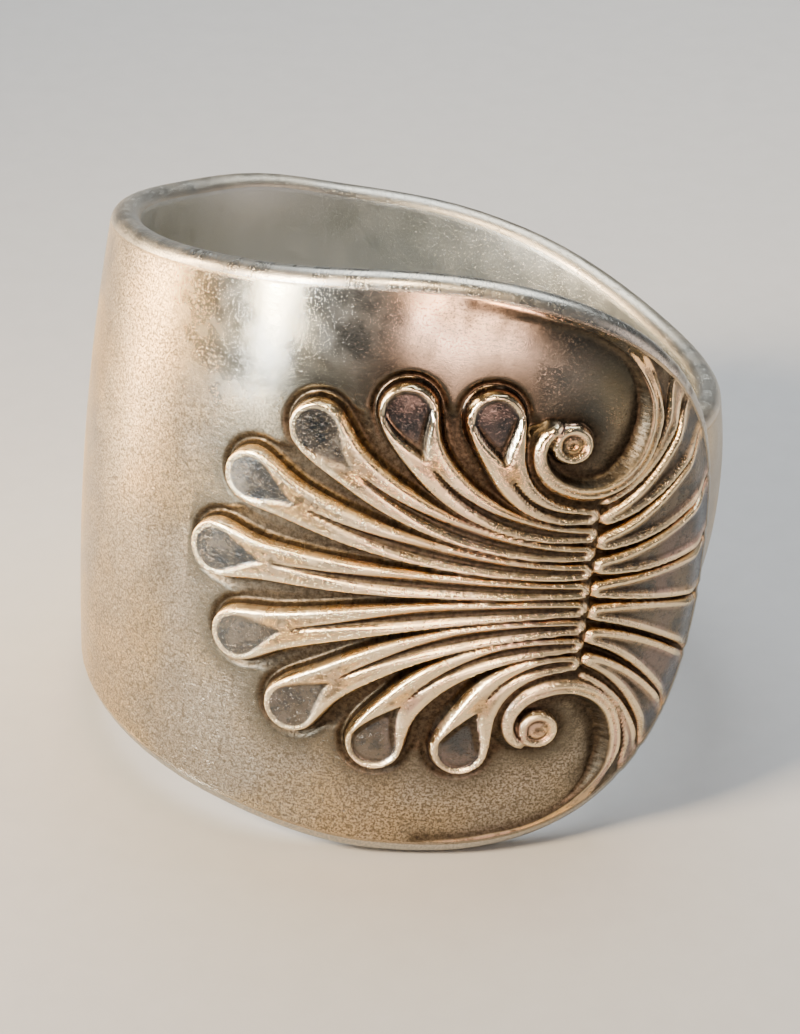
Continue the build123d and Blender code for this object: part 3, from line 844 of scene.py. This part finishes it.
# The floor and the room
floor_size = 0.9
floor_middle = (0.0, 0.1, 0.0)
paper_dark = (0.60, 0.59, 0.58, 1)
paper_pale = (0.66, 0.65, 0.64, 1)
paper_roughness = 0.85
paper_noise = (900.0, 3.0, 0.55)
room_colour = (0.75, 0.82, 0.92, 1)
room_strength = 0.16


def floor_material():
    """Plain pale matt paper."""
    material = bpy.data.materials.new("pale_paper")
    material.use_nodes = True
    tree = material.node_tree
    shader = tree.nodes["Principled BSDF"]
    shader.inputs["Roughness"].default_value = paper_roughness
    place_node = tree.nodes.new("ShaderNodeTexCoord")
    fleck = noise(tree, place_node.outputs["Object"], *paper_noise)
    tree.links.new(blend_colour(tree, fleck, paper_dark, paper_pale), shader.inputs["Base Color"])
    return material


# Soft lamps and glowing cards, in metres and watts. Those that light no floor show in the silver alone.
lamps_face = (0.0, 0.0, 0.009)
LAMPS = [
    # name, place, width and height, power, colour, lights the floor, spread in degrees
    ("window", (0.015, 0.060, 0.120), (0.120, 0.090), 0.200, (0.88, 0.95, 1.00), True, 180.0),
    ("warm_key", (-0.080, -0.050, 0.075), (0.030, 0.030), 0.036, (1.00, 0.78, 0.52), True, 60.0),
    ("warm_card", (-0.042, 0.004, 0.016), (0.008, 0.040), 0.055, (1.00, 0.72, 0.42), False, 180.0),
    ("cool_card", (-0.044, -0.040, 0.030), (0.008, 0.030), 0.085, (0.80, 0.90, 1.00), False, 180.0),
    ("pink_card", (0.012, -0.072, 0.020), (0.026, 0.010), 0.018, (1.00, 0.66, 0.54), False, 180.0),
    ("front_top", (-0.015, -0.080, 0.140), (0.050, 0.022), 0.220, (1.00, 0.78, 0.50), False, 180.0),
    ("right_card", (0.060, -0.004, 0.022), (0.030, 0.040), 0.006, (1.00, 0.84, 0.78), True, 180.0),
]


def area_light(name, spot, size, power, colour, lights_floor, spread):
    """One lamp or card of the table, turned to face the ring."""
    data = bpy.data.lights.new(name, "AREA")
    data.shape = "RECTANGLE"
    data.size, data.size_y = size
    data.energy = power
    data.color = colour
    data.spread = math.radians(spread)
    lamp = bpy.data.objects.new(name, data)
    lamp.location = spot
    lamp.rotation_euler = (Vector(lamps_face) - Vector(spot)).to_track_quat("-Z", "Y").to_euler()
    lamp.visible_diffuse = lights_floor
    bpy.context.scene.collection.objects.link(lamp)


# The camera, fitted to the photograph in the upright ring's frame: millimetres, radians and pixels
camera_spot = Vector((0.0, -106.385, 41.3266))
yaw, pitch, roll = 0.0011, 0.3884, 0.1061
focal_pixels = 3500.0
frame_height = 1034.0
sensor = 36.0
nearest_seen = 0.005


def fitted_camera():
    """The photograph's camera, turned and moved with the ring to where it rests."""
    ahead = Vector((math.sin(yaw) * math.cos(pitch), math.cos(yaw) * math.cos(pitch), -math.sin(pitch)))
    level = Vector((math.cos(yaw), -math.sin(yaw), 0.0))
    upward = level.cross(ahead)
    right = math.cos(roll) * level + math.sin(roll) * upward
    above = -math.sin(roll) * level + math.cos(roll) * upward
    data = bpy.data.cameras.new("camera")
    data.sensor_width = sensor
    data.lens = focal_pixels * sensor / frame_height
    data.clip_start = nearest_seen
    camera = bpy.data.objects.new("camera", data)
    bpy.context.scene.collection.objects.link(camera)
    turn = turned_matrix()
    pose = Matrix((turn @ right, turn @ above, turn @ -ahead)).transposed().to_4x4()
    pose.translation = (turn @ camera_spot + ring_middle) * MM
    camera.matrix_world = pose
    return camera


band = band_object()
band.data.materials.append(silver_material())
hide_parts("silver_band")
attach(band, "root")

bpy.ops.mesh.primitive_plane_add(size=floor_size, location=floor_middle)
floor = bpy.context.object
floor.name = "floor"
floor.data.materials.append(floor_material())

world = bpy.data.worlds.new("studio")
bpy.context.scene.world = world
world.use_nodes = True
world.node_tree.nodes["Background"].inputs[0].default_value = room_colour
world.node_tree.nodes["Background"].inputs[1].default_value = room_strength

for lamp_row in LAMPS:
    area_light(*lamp_row)

bpy.context.scene.camera = fitted_camera()
